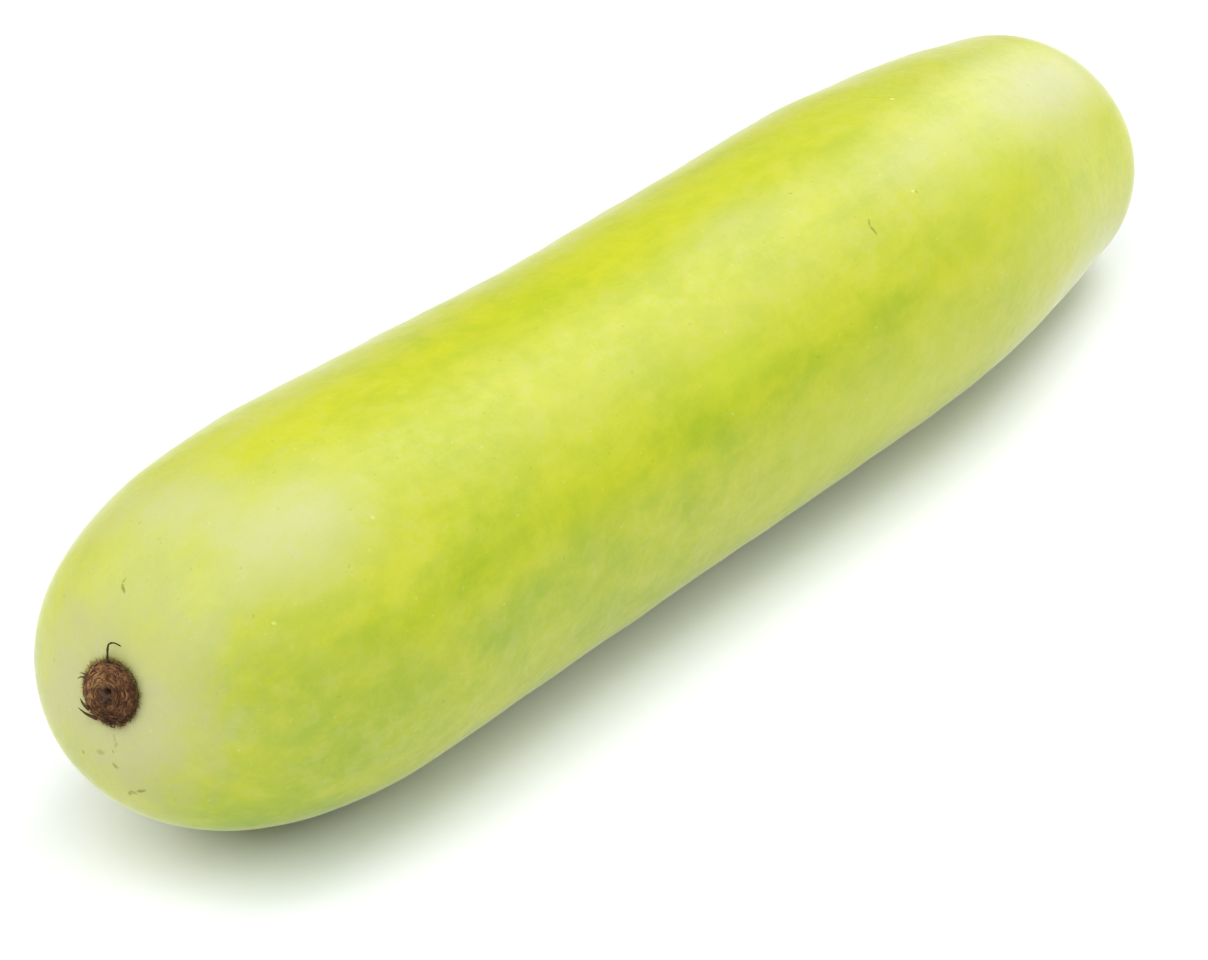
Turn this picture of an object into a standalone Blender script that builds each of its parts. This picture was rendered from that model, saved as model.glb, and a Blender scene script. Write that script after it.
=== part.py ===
"""Bottle gourd, picked, lying on its side.

Metres, +Z up. The fruit runs along +X from its blossom end to its stem end and rests on z = 0.
The origin is on the floor, under the middle of the whole fruit.
"""
import math

import bmesh
import bpy
from mathutils import Matrix, Vector

# ---- Fruit -----------------------------------------------------------------------------------
FRUIT_LENGTH = 0.350
# Radius at equal steps from the blossom end to the stem end: broad, a slight waist, then a taper.
BODY_RADII = (0.0414, 0.0397, 0.0380, 0.0370, 0.0368, 0.0365, 0.0327, 0.0262)
HEIGHT_TO_WIDTH = 0.98
BLOSSOM_CAP_LENGTH = 0.095
BLOSSOM_CAP_POWER = 2.85
STEM_CAP_LENGTH = 0.0265
STEM_CAP_POWER = 2.5
# The last stretch before the blossom end turns gently upwards.
TIP_LENGTH = 0.050
TIP_SLOPE = 0.25
# Sideways curve of the axis, and how far the belly hangs below it, at equal steps.
SIDE_SWAY = (0.0, -0.0010, -0.0049, -0.0072, 0.0)
BELLY_SAG = (-0.0006, -0.0008, -0.0009, -0.0008, -0.0006)
# A flattened patch on the upper shoulder near the stem end.
SHOULDER_DEPTH = 0.0024
SHOULDER_ALONG = 0.317
SHOULDER_TURN = math.radians(136)
SHOULDER_HALF_LENGTH = 0.030
SHOULDER_HALF_TURN = math.radians(57)
SHOULDER_FADE_RADIUS = 0.030
# The hollow that the stalk grows from.
DIMPLE_DEPTH = 0.0025
DIMPLE_RADIUS = 0.011
DIMPLE_POWER = 4
FRUIT_SEGMENTS = 72
FRUIT_RINGS = 60

# ---- Pieces on the two ends ------------------------------------------------------------------
SEAT_GAP = 0.0003
TURNED_STEPS = 40
# Outlines as (radius, height above the skin), from the middle of the top, down the outer side.
SCAR_OUTLINE = (
    (0.0, 0.00062), (0.0007, 0.00066), (0.0014, 0.00112), (0.0026, 0.00150), (0.0041, 0.00146),
    (0.0054, 0.00118), (0.0062, 0.00072), (0.0066, 0.00030), (0.0063, 0.0), (0.0, 0.0),
)
STUB_OUTLINE = (
    (0.0, 0.0084), (0.0022, 0.0086), (0.0040, 0.0091), (0.0048, 0.0089), (0.0051, 0.0082),
    (0.0050, 0.0060), (0.0051, 0.0038), (0.0056, 0.0021), (0.0065, 0.0009), (0.0069, 0.0004),
    (0.0066, 0.0), (0.0, 0.0),
)
# Route of the dry thread over the scar: up the end of the fruit, across it, out from it.
FILAMENT_RADIUS = 0.0002
FILAMENT_ROUTE = (
    (0.0053, 0.0014, 0.0019), (0.0064, 0.0014, 0.0020), (0.0075, 0.0014, 0.0021),
    (0.0083, 0.0011, 0.0022), (0.0088, 0.0006, 0.0022), (0.0091, -0.0001, 0.0022),
    (0.0091, -0.0009, 0.0021), (0.0089, -0.0016, 0.0020),
)

# ---- Colours (linear), roughness -------------------------------------------------------------
SKIN_LOOK = ((0.56, 0.66, 0.09), 0.42)
SCAR_LOOK = ((0.14, 0.075, 0.033), 0.9)
FILAMENT_LOOK = ((0.07, 0.06, 0.025), 0.8)
STUB_LOOK = ((0.30, 0.33, 0.10), 0.7)


def clear_scene():
    """Remove every object that the scene starts with."""
    for obj in list(bpy.data.objects):
        bpy.data.objects.remove(obj, do_unlink=True)


def smooth_through(values, station):
    """Catmull-Rom curve through equally spaced values, for a station from 0 to 1."""
    last = len(values) - 1
    position = min(max(station, 0.0), 1.0) * last
    k = min(int(position), last - 1)
    t = position - k
    here = values[k]
    there = values[k + 1]
    before = values[k - 1] if k > 0 else 2 * here - there
    after = values[k + 2] if k + 2 <= last else 2 * there - here
    linear = (there - before) * t
    square = (2 * before - 5 * here + 4 * there - after) * t ** 2
    cube = (3 * here - 3 * there + after - before) * t ** 3
    return here + 0.5 * (linear + square + cube)


def cap_share(distance, length, power):
    """Share of the full radius at a distance from an end that closes as a superellipse."""
    left = 1.0 - min(max(distance / length, 0.0), 1.0)
    return max(1.0 - left ** power, 0.0) ** (1.0 / power)


def shoulder_flat(along, turn):
    """Depth of the flattened patch on the stem end's shoulder."""
    away = math.remainder(turn - SHOULDER_TURN, math.tau) / SHOULDER_HALF_TURN
    beyond = (along - SHOULDER_ALONG) / SHOULDER_HALF_LENGTH
    return SHOULDER_DEPTH * math.exp(-away ** 2 - beyond ** 2)


def skin_point(station, turn):
    """Point of the skin: station 0 is the blossom end, 1 the stem end; a quarter turn is the top."""
    along = station * FRUIT_LENGTH
    body = smooth_through(BODY_RADII, station)
    radius = body * cap_share(along, BLOSSOM_CAP_LENGTH, BLOSSOM_CAP_POWER)
    radius *= cap_share(FRUIT_LENGTH - along, STEM_CAP_LENGTH, STEM_CAP_POWER)
    radius -= shoulder_flat(along, turn) * min(radius / SHOULDER_FADE_RADIUS, 1.0)

    into_tip = max(TIP_LENGTH - along, 0.0)
    rise = TIP_SLOPE * into_tip ** 2 / (2 * TIP_LENGTH)
    lean = math.atan(TIP_SLOPE * into_tip / TIP_LENGTH)
    across = radius * math.cos(turn)
    up = HEIGHT_TO_WIDTH * radius * math.sin(turn)
    dimple = 0.0
    if station > 0.5:
        dimple = DIMPLE_DEPTH * math.exp(-(radius / DIMPLE_RADIUS) ** DIMPLE_POWER)

    axis_height = HEIGHT_TO_WIDTH * body + smooth_through(BELLY_SAG, station) + rise
    x = along + math.sin(lean) * up - dimple
    y = smooth_through(SIDE_SWAY, station) + across
    # The belly is flattened where it bears on the floor.
    z = max(axis_height + math.cos(lean) * up, 0.0)
    return Vector((x, y, z))


def make_material(name, look):
    """Principled material with one colour and roughness."""
    colour, roughness = look
    material = bpy.data.materials.new(name)
    material.use_nodes = True
    shader = material.node_tree.nodes["Principled BSDF"]
    shader.inputs["Base Color"].default_value = (*colour, 1.0)
    shader.inputs["Roughness"].default_value = roughness
    shader.inputs["Metallic"].default_value = 0.0
    return material


def add_object(name, data, look, collection, parent):
    """Named object with its own material, hung on an empty."""
    obj = bpy.data.objects.new(name, data)
    data.materials.append(make_material(name, look))
    collection.objects.link(obj)
    obj.parent = parent
    return obj


def add_empty(name, collection, parent=None, matrix=None):
    """Empty that places what hangs on it."""
    empty = bpy.data.objects.new(name, None)
    empty.empty_display_size = 0.01
    collection.objects.link(empty)
    empty.parent = parent
    if matrix is not None:
        empty.matrix_local = matrix
    return empty


def make_fruit(collection, parent):
    """The whole fruit: a sphere whose height becomes the station along the fruit."""
    bm = bmesh.new()
    bmesh.ops.create_uvsphere(bm, u_segments=FRUIT_SEGMENTS, v_segments=FRUIT_RINGS, radius=1.0)
    for vert in bm.verts:
        station = (1.0 + vert.co.z) / 2
        turn = math.atan2(vert.co.y, vert.co.x)
        vert.co = skin_point(station, turn)
    mesh = bpy.data.meshes.new("fruit")
    bm.to_mesh(mesh)
    bm.free()
    mesh.shade_smooth()
    return add_object("fruit", mesh, SKIN_LOOK, collection, parent)


def make_turned(name, outline, look, collection, parent):
    """Solid of revolution about local Z, from an outline that starts and ends on the axis."""
    bm = bmesh.new()
    verts = [bm.verts.new((radius, 0.0, height)) for radius, height in outline]
    for upper, lower in zip(verts, verts[1:]):
        bm.edges.new((upper, lower))
    mesh = bpy.data.meshes.new(name)
    bm.to_mesh(mesh)
    bm.free()
    obj = add_object(name, mesh, look, collection, parent)
    screw = obj.modifiers.new("Turn", "SCREW")
    screw.axis = "Z"
    screw.angle = math.tau
    screw.steps = TURNED_STEPS
    screw.render_steps = TURNED_STEPS
    screw.use_merge_vertices = True
    screw.merge_threshold = 0.00001
    screw.use_smooth_shade = True
    return obj


def make_filament(collection, parent):
    """The curled dry thread, as a round-section curve with closed ends."""
    curve = bpy.data.curves.new("dry_filament", "CURVE")
    curve.dimensions = "3D"
    curve.bevel_depth = FILAMENT_RADIUS
    curve.bevel_resolution = 2
    curve.use_fill_caps = True
    spline = curve.splines.new("POLY")
    spline.points.add(len(FILAMENT_ROUTE) - 1)
    for point, place in zip(spline.points, FILAMENT_ROUTE):
        point.co = (*place, 1.0)
    return add_object("dry_filament", curve, FILAMENT_LOOK, collection, parent)


def end_place(station, lean):
    """Placing of an end's pieces: local Z points out of the fruit, from just off its skin."""
    outward = Vector((math.cos(lean), 0.0, -math.sin(lean)))
    if station < 0.5:
        outward.negate()
    turned = Matrix.Rotation(math.atan2(outward.x, outward.z), 4, "Y")
    return Matrix.Translation(skin_point(station, 0.0) + outward * SEAT_GAP) @ turned


def centre_over_origin(root, objects):
    """Move the root so that the origin is under the middle of everything."""
    bpy.context.view_layer.update()
    depsgraph = bpy.context.evaluated_depsgraph_get()
    points = []
    for obj in objects:
        evaluated = obj.evaluated_get(depsgraph)
        mesh = evaluated.to_mesh()
        points += [evaluated.matrix_world @ vert.co for vert in mesh.vertices]
        evaluated.to_mesh_clear()
    for axis in (0, 1):
        values = [point[axis] for point in points]
        root.location[axis] = -(min(values) + max(values)) / 2
    root.location.z = -min(point.z for point in points)


def main():
    clear_scene()
    collection = bpy.data.collections.new("bottle_gourd")
    bpy.context.scene.collection.children.link(collection)
    root = add_empty("bottle_gourd_origin", collection)
    blossom_end = add_empty("blossom_end", collection, root, end_place(0.0, math.atan(TIP_SLOPE)))
    stem_end = add_empty("stem_end", collection, root, end_place(1.0, 0.0))
    objects = [
        make_fruit(collection, root),
        make_turned("blossom_scar", SCAR_OUTLINE, SCAR_LOOK, collection, blossom_end),
        make_filament(collection, blossom_end),
        make_turned("stem_stub", STUB_OUTLINE, STUB_LOOK, collection, stem_end),
    ]
    centre_over_origin(root, objects)


main()
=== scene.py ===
"""Bottle gourd as photographed: fine skin, dry flower scar, curled thread and cut stalk.

Metres, +Z up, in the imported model's frame. The blossom end faces -X, the stem end +X.
"""
import math
import random

import bmesh
import bpy
import numpy as np
from mathutils import Matrix, Vector, noise


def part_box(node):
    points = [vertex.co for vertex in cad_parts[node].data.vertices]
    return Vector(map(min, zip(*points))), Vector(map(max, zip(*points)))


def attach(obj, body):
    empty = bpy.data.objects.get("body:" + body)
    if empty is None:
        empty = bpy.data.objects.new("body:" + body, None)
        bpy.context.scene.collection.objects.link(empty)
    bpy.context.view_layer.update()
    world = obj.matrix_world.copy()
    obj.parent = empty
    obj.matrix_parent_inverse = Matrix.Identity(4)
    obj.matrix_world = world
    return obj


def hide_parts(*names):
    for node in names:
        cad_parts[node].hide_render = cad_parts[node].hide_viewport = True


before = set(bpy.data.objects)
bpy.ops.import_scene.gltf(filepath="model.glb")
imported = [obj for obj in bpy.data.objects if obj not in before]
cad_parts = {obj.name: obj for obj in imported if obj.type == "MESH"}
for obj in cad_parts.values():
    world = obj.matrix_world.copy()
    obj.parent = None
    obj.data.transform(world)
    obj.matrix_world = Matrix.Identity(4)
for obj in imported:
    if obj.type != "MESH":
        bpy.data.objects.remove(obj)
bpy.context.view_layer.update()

# ---- Fruit, the same driving values as the part ----
FRUIT_LENGTH = 0.350
# Radius at equal steps from the blossom end to the stem end: broad, a slight waist, then a taper.
BODY_RADII = (0.0414, 0.0397, 0.0380, 0.0370, 0.0368, 0.0365, 0.0327, 0.0262)
HEIGHT_TO_WIDTH = 0.98
BLOSSOM_CAP_LENGTH = 0.095
BLOSSOM_CAP_POWER = 2.85
STEM_CAP_LENGTH = 0.0265
STEM_CAP_POWER = 2.5
# The last stretch before the blossom end turns gently upwards.
TIP_LENGTH = 0.050
TIP_SLOPE = 0.25
# Sideways curve of the axis, and how far the belly hangs below it, at equal steps.
SIDE_SWAY = (0.0, -0.0010, -0.0049, -0.0072, 0.0)
BELLY_SAG = (-0.0006, -0.0008, -0.0009, -0.0008, -0.0006)
# A flattened patch on the upper shoulder near the stem end.
SHOULDER_DEPTH = 0.0024
SHOULDER_ALONG = 0.317
SHOULDER_TURN = math.radians(136)
SHOULDER_HALF_LENGTH = 0.030
SHOULDER_HALF_TURN = math.radians(57)
SHOULDER_FADE_RADIUS = 0.030
# The hollow that the stalk grows from.
DIMPLE_DEPTH = 0.0025
DIMPLE_RADIUS = 0.011
DIMPLE_POWER = 4
# Gap between the fruit and the pieces on its ends.
SEAT_GAP = 0.0003
MIDDLE_RADIUS = 0.037

# ---- Detail of the skin's mesh ----
SKIN_RINGS = 400
SKIN_SEGMENTS = 236
# Broad, very low swellings: depth, waves along the fruit, waves round it, start (radians).
SWELLINGS = (
    (0.00010, 5.0, 2, 0.3), (0.00008, 9.0, 3, 1.9), (0.00006, 14.0, 5, 4.1), (0.00004, 23.0, 4, 2.2),
)
# How far the phase of their waves round the fruit runs on from end to end, in radians.
SWELLING_TWIST = 3
# Creases round the scar and folds round the stalk: depth, reach from the end's middle, how many,
# and how unevenly they are spaced (radians, and times in a turn).
PUCKERS = (0.00005, 0.0085, 17, 2.0, 2)
STALK_FOLDS = (0.0006, 0.0120, 9, 1.3, 3)
# Steps for finding a place on the skin, crowded towards the blossom end by a power, and the
# small step (radians, and share of the station) that its normal is read from.
ARC_STEPS = 6001
ARC_CROWDING = 3
NORMAL_STEP = 0.002

# ---- Clouds of colour on the skin, with painted shade and painted highlights ----
# Each is: arc from the blossom end (m), turn (degrees), half length (m), half turn (degrees),
# strength.
# Green patches of the skin, together with painted shade: the clouds low on the side near the floor,
# from about 186 to 232 degrees round, darken it where shade falls, most near the blossom end.
GREEN_CLOUDS_AND_LOW_SHADE = (
    (0.135, 186, 0.085, 34, 0.50), (0.054, 192, 0.042, 34, 0.82), (0.052, 163, 0.022, 12, 0.72),
    (0.085, 156, 0.026, 13, 0.68), (0.110, 163, 0.018, 12, 0.62), (0.160, 159, 0.022, 12, 0.54),
    (0.187, 164, 0.016, 12, 0.58), (0.226, 159, 0.016, 10, 0.65), (0.246, 149, 0.018, 9, 0.46),
    (0.160, 206, 0.080, 24, 0.46), (0.034, 166, 0.018, 22, 0.85), (0.050, 232, 0.036, 26, 0.90),
    (0.150, 228, 0.160, 20, 0.60), (0.024, 128, 0.010, 16, 0.35), (0.318, 163, 0.016, 14, 0.28),
    (0.130, 20, 0.040, 18, 0.55), (0.215, 350, 0.035, 20, 0.60),
    (0.290, 30, 0.030, 18, 0.50), (0.060, 330, 0.030, 22, 0.50), (0.086, 177, 0.024, 14, 0.64),
    (0.130, 170, 0.085, 15, 0.62), (0.130, 92, 0.032, 22, 0.22),
    (0.020, 108, 0.008, 42, 0.42), (0.044, 178, 0.014, 14, 0.85),
)
# Pale patches of the skin, together with painted highlights: the clouds on the band from about 104
# to 131 degrees round, strongest near both ends, lighten it where the lamps shine.
PALE_CLOUDS_AND_HIGHLIGHTS = (
    (0.038, 88, 0.0125, 36, 0.95), (0.045, 118, 0.020, 20, 0.97), (0.034, 150, 0.018, 30, 0.16),
    (0.205, 108, 0.024, 8, 0.22), (0.262, 119, 0.026, 10, 0.45), (0.328, 120, 0.036, 18, 1.00),
    (0.325, 214, 0.034, 24, 0.85), (0.185, 131, 0.110, 8, 0.16), (0.245, 192, 0.050, 14, 0.15),
    (0.090, 72, 0.040, 10, 0.18), (0.028, 185, 0.016, 22, 0.14), (0.262, 131, 0.020, 9, 0.24),
    (0.200, 104, 0.014, 8, 0.30),
)
LIME_CLOUDS = (
    (0.300, 168, 0.040, 30, 0.25), (0.172, 146, 0.012, 8, 0.50), (0.225, 190, 0.040, 16, 0.55),
    (0.230, 84, 0.060, 10, 0.30), (0.150, 132, 0.045, 9, 0.14), (0.275, 140, 0.022, 12, 0.35),
    (0.014, 98, 0.012, 30, 0.22),
)
# Where the skin is plain, without pale mottling.
PLAIN_CLOUDS = (
    (0.150, 156, 0.140, 17, 0.95), (0.322, 160, 0.034, 16, 0.90), (0.150, 90, 0.075, 12, 0.95),
    (0.036, 245, 0.022, 26, 0.95),
)
# The pale ground spot under the fruit, where it lay as it grew.
GROUND_SPOT = ((0.200, 270, 0.130, 26, 1.00), (0.190, 270, 0.110, 33, 0.90))

# ---- Small marks on the skin ----
# Each is a stroke: from arc (m) and turn (degrees), to arc and turn, half width (m), strength.
OLIVE_MARKS = (
    (0.0204, 80.5, 0.0206, 80.7, 0.00018, 0.50), (0.0196, 80.6, 0.0185, 83.2, 0.00026, 0.75),
    (0.0158, 295.0, 0.0156, 294.2, 0.00024, 0.55), (0.0128, 280.5, 0.0125, 277.0, 0.00040, 0.40),
    (0.0080, 261.0, 0.0092, 260.5, 0.00020, 0.30), (0.0096, 259.0, 0.0103, 261.0, 0.00026, 0.35),
    (0.0114, 265.0, 0.0116, 264.5, 0.00020, 0.50), (0.0144, 266.0, 0.0147, 264.5, 0.00034, 0.60),
    (0.0217, 263.0, 0.0205, 260.5, 0.00026, 0.60), (0.0205, 260.0, 0.0210, 258.2, 0.00028, 0.60),
    (0.0203, 255.5, 0.0201, 250.8, 0.00026, 0.75), (0.2305, 128.9, 0.2298, 130.4, 0.00022, 0.56),
    (0.2298, 131.4, 0.2301, 133.6, 0.00028, 0.68), (0.2476, 129.4, 0.2478, 129.8, 0.00020, 0.50),
    (0.2627, 75.0, 0.2696, 94.0, 0.00010, 0.26), (0.2190, 106.4, 0.2196, 106.8, 0.00016, 0.45),
)
PALE_MARKS = (
    (0.2701, 94.3, 0.2704, 94.7, 0.00030, 0.90), (0.2469, 128.8, 0.2471, 129.1, 0.00024, 0.70),
    (0.0340, 143.0, 0.0343, 143.5, 0.00022, 0.50), (0.0640, 128.0, 0.0643, 128.5, 0.00022, 0.50),
)
# How far above and below the skin a mark reaches, how much its half width is spread, and the
# shares of that width between which it goes from nothing to its full strength.
MARK_DEPTH = 0.003
MARK_SPREAD = 1.45
MARK_FADE = (1.3, 0.5)
# Size of the wobble in the marks' outlines, and how far it spreads them.
MARK_WOBBLE_SIZE = 1 / 1500
MARK_WOBBLE = 0.0006
# How far the pale cap reaches from the blossom end, along the skin.
CAP_REACH = 0.0235
# Orange stain round the scar: its outer and inner edge (arc) and its strongest side.
STAIN_EDGE = (0.0078, 0.0062)
STAIN_TURN = math.radians(320)

# ---- Mottling of the skin: size of each pattern in metres ----
BROAD_MOTTLE = 0.030
MIDDLE_MOTTLE = 0.009
SMALL_MOTTLE = 0.0042
FINE_MOTTLE = 0.0020
STREAK_WIDTH = 0.0034
GRIT_SIZE = 0.0009
SPECK_SPACING = 0.0012
# What each pattern adds to the green: the noise from and to, least and most added.
GREEN_MOTTLING = {
    "broad": (0.40, 0.66, 0.0, 0.20),
    "middle": (0.38, 0.66, -0.06, 0.11),
    "small": (0.40, 0.66, -0.05, 0.09),
    "streaks": (0.35, 0.70, -0.03, 0.05),
    "fine": (0.38, 0.66, -0.02, 0.03),
}
# What each pattern adds to the pale green, and what is added throughout.
PALE_MOTTLING = {
    "broad": (0.50, 0.30, 0.0, 0.12),
    "small": (0.52, 0.34, 0.0, 0.14),
    "fine": (0.48, 0.32, 0.0, 0.07),
}
PALE_THROUGHOUT = 0.09
# How far a cloud of green or of painted shade, at full strength, goes towards leaf green.
GREEN_AND_SHADE_CLOUD_SHARE = 0.72

# ---- Colours of the skin, linear ----
YELLOW_GREEN = (0.494, 0.527, 0.003)
LEAF_GREEN = (0.240, 0.374, 0.001)
PALE_GREEN = (0.498, 0.521, 0.194)
LIME = (0.505, 0.577, 0.014)
CREAM = (0.594, 0.594, 0.383)
BLOSSOM_PALE = (0.460, 0.459, 0.219)
STAIN = (0.480, 0.290, 0.070)
OLIVE = (0.180, 0.200, 0.014)
FLECK = (0.660, 0.690, 0.240)
STEM_PALE = (0.536, 0.565, 0.220)
PALE_GRIT = (0.620, 0.660, 0.070)
GREEN_GRIT = (0.260, 0.380, 0.010)
PORE = (0.200, 0.300, 0.020)

# ---- Flower scar, in metres: X up the end of the fruit, Y across, Z out of it ----
SCAR_SEED = 41
SCAR_RADIUS = 0.00605
SCAR_ROWS = 66
SCAR_COLUMNS = 176
# Height over the seat at equal steps from the middle to the rim.
SCAR_HEIGHTS = (
    0.00085, 0.00090, 0.00100, 0.00118, 0.00140, 0.00152, 0.00154, 0.00148, 0.00136, 0.00116,
    0.00080, -0.00010,
)
# Where the button's wall ends inside the fruit: height, share of the rim's radius.
SCAR_FOOT = -0.0007
SCAR_FOOT_SHARE = 0.96
# The torn rim: share of the radius, changes round it.
RIM_TEARS = ((0.035, 3.1), (0.030, 11.0))
# Sunken middle, the pit in it, two grooves and a knob: place, radius, depth (minus is a rise).
SCAR_HOLLOWS = (
    (-0.0007, 0.0004, 0.0020, 0.00055), (0.0001, 0.0005, 0.00065, 0.00060),
    (-0.0013, -0.0004, 0.00055, 0.00045), (-0.0022, 0.0001, 0.00050, 0.00040),
    (-0.0015, 0.0006, 0.00060, -0.00045),
)
# Ridges that run round: how far they wander (radians) over the disc and how often (per metre),
# the same round the rim (per radius), and how often they break off (per metre).
RIDGE_SPACING = 0.00070
RIDGE_HEIGHT = 0.00010
RIDGE_WANDER = 5.0
RIDGE_WANDER_RATE = 420
RIDGE_WOBBLE = 1.6
RIDGE_WOBBLE_RATE = 6
RIDGE_BREAK_RATE = 600
# Crumbs in two sizes, and lumps: how often per metre.
CRUMB_RATE = 1500
FINE_CRUMB_RATE = 3800
FINE_CRUMB_SHARE = 0.6
LUMP_RATE = 700
# Share of the radius where the ridges begin, and how much further out they are full.
RIDGES_FROM = 0.22
RIDGES_GROW = 0.15
# Ridge, crumb and lump: their heights in ridge heights, and how much each lightens its crest.
ROUGH_SHARES = (1.5, 0.9, 2.0)
CREST_SHARES = (0.35, 0.12, 0.25)
# Soft spots of colour on the button: place, radius, power of the fall-off, strength.
TAN_SPOTS = ((0.0022, 0.0024, 0.0019, 2, 1.00), (-0.0008, 0.0038, 0.0016, 2, 0.75))
MIDDLE_SPOTS = ((-0.0007, 0.0004, 0.0019, 4, 0.75),)
DARK_SPOTS = (
    (0.0001, 0.0005, 0.00070, 4, 0.95), (-0.0013, -0.0004, 0.00050, 2, 0.85),
    (-0.0022, 0.0001, 0.00050, 2, 0.85), (-0.0046, -0.0008, 0.0024, 2, 0.70),
    (0.0048, 0.0008, 0.0014, 2, 0.35),
)
# The dark rim: where it begins, how much further out it is full (shares of the radius), strength.
DARK_RIM = (0.84, 0.12, 0.55)
# Matted fibres on the button, the first of them longer and thicker. Pairs are (least, most), and
# FIBRE_AREA is the square of the share of the radius.
FIBRE_COUNT = 260
BROAD_FIBRES = 44
BROAD_LONGER = 1.8
BROAD_THICKER = 1.7
FIBRE_STEPS = 6
FIBRE_AREA = (0.12, 0.97)
FIBRE_LENGTH = (0.0006, 0.0026)
FIBRE_DRIFT = 0.00085
FIBRE_CURL = 0.00030
FIBRE_LIFT = (0.00002, 0.00012)
FIBRE_LOOSE = 0.00045
FIBRE_THICKNESS = (0.000035, 0.000090)
# Hairs of the torn fringe. They start at a share of the radius, and spread in direction (radians).
FRINGE_COUNT = 1500
FRINGE_STEPS = 4
FRINGE_ROOT = (0.86, 1.02)
FRINGE_SPREAD = 0.75
FRINGE_LENGTH = (0.0004, 0.0010)
FRINGE_SLOPE = (0.05, 0.75)
FRINGE_FOOT = 0.00015
FRINGE_THICKNESS = (0.000024, 0.000050)
# Sides where the fringe is longest and where it is most olive, in radians from the top.
LONG_SIDE = -0.75
OLIVE_SIDE = 0.5
# Dried bracts that stand off the rim: where each starts, where it ends, its width.
BRACTS = (
    ((-0.0044, 0.0040, 0.0005), (-0.0026, 0.0060, 0.0010), 0.00034),
    ((-0.0056, 0.0022, 0.0004), (-0.0045, 0.0062, 0.0010), 0.00036),
    ((0.0015, 0.0054, 0.0006), (0.0008, 0.0069, 0.0012), 0.00018),
    ((0.0020, 0.0051, 0.0007), (0.0019, 0.0067, 0.0011), 0.00014),
    ((-0.0046, -0.0028, 0.0010), (-0.0048, -0.0046, 0.0009), 0.00026),
    ((-0.0054, -0.0006, 0.0008), (-0.0060, -0.0022, 0.0006), 0.00024),
    ((-0.0032, -0.0048, 0.0008), (-0.0038, -0.0056, 0.0008), 0.00016),
)
BRACT_BULGE = 0.00035
BRACT_STEPS = 11
# Route of the curled thread.
THREAD_RADIUS = 0.00020
THREAD_STEPS = 59
# The thread's thickness at its root and its end, and the last share of it that runs to a point.
THREAD_TAPER = (1.18, 0.63)
THREAD_POINT = 0.07
THREAD_ROUTE = (
    (0.0054, 0.0010, 0.0006), (0.0064, 0.0010, 0.0009), (0.0075, 0.0010, 0.0011),
    (0.0085, 0.0010, 0.0012), (0.0092, 0.0008, 0.0013), (0.0096, 0.0003, 0.0013),
    (0.0098, -0.0004, 0.0013), (0.0097, -0.0012, 0.0012), (0.0095, -0.0019, 0.0011),
)

# ---- Colours of the scar, its fibres and the thread, linear ----
SCAR_DARK = (0.070, 0.027, 0.010)
SCAR_BROWN = (0.190, 0.086, 0.034)
SCAR_CREST = (0.320, 0.168, 0.080)
SCAR_GRAIN = (0.300, 0.155, 0.060)
SCAR_PATCH = (0.030, 0.012, 0.006)
SCAR_FURROW = (0.024, 0.010, 0.005)
SCAR_TAN = (0.400, 0.220, 0.085)
SCAR_MIDDLE = (0.062, 0.042, 0.034)
SCAR_CRACK = (0.014, 0.006, 0.003)
SCAR_PIT = (0.016, 0.008, 0.004)
FIBRE_BROWN = (0.056, 0.022, 0.009)
FIBRE_STRAW = (0.430, 0.235, 0.120)
FIBRE_DARK = (0.028, 0.014, 0.006)
FRINGE_BROWN = (0.070, 0.036, 0.012)
FRINGE_OLIVE = (0.420, 0.350, 0.090)
THREAD_DARK = (0.014, 0.011, 0.003)
THREAD_BROWN = (0.058, 0.047, 0.014)

# ---- Cut stalk ----
# Outline as (radius, height above the seat), from under the skin up to the middle of the cut.
STALK_OUTLINE = (
    (0.0069, -0.0016), (0.0070, -0.0002), (0.0066, 0.0007), (0.0058, 0.0018), (0.0052, 0.0034),
    (0.0050, 0.0056), (0.0051, 0.0074), (0.0050, 0.0085), (0.0046, 0.0089), (0.0040, 0.0088),
    (0.0034, 0.0085), (0.0022, 0.0084), (0.0010, 0.0081), (0.0000, 0.0079),
)
STALK_ROWS = 90
STALK_COLUMNS = 150
STALK_RIBS = 5
# Ribs and lumps in shares of the radius, the small ribs between in shares of the main ones.
STALK_RIB_DEPTH = 0.075
STALK_SMALL_RIB = 0.35
STALK_LUMP = 0.035
# The ribs fade inside this radius.
STALK_RIB_RADIUS = 0.004
STALK_CRUMB = 0.00010
STALK_CRUMB_RATE = 900
# The fibre ring in the cut face: its radius, and how far from it the ring fades out and is full.
CUT_RING_RADIUS = 0.0031
CUT_RING_EDGE = (0.0007, 0.0002)
STALK_GREEN = (0.200, 0.270, 0.050)
STALK_PALE = (0.400, 0.430, 0.130)
STALK_FRECKLE = (0.330, 0.250, 0.105)
STALK_CORK = (0.420, 0.370, 0.150)
CUT_PALE = (0.430, 0.350, 0.170)
CUT_BROWN = (0.300, 0.215, 0.095)
CUT_RING = (0.170, 0.120, 0.055)
CUT_CRACK = (0.120, 0.080, 0.035)

# ---- Floor and light ----
FLOOR_HALF_WIDTH = 6.0
# The floor lies just under the fruit, so that the two surfaces don't coincide.
FLOOR_DROP = 0.00005
FLOOR_TONES = ((0.905, 0.925, 1.000), (0.920, 0.940, 1.000))
FLOOR_TONE_SIZE = 0.35
SKY_STRENGTH = 0.30
LIGHT_AIM = Vector((-0.02, 0.0, 0.04))
SOFTBOX_DISTANCE = 1.3
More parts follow.
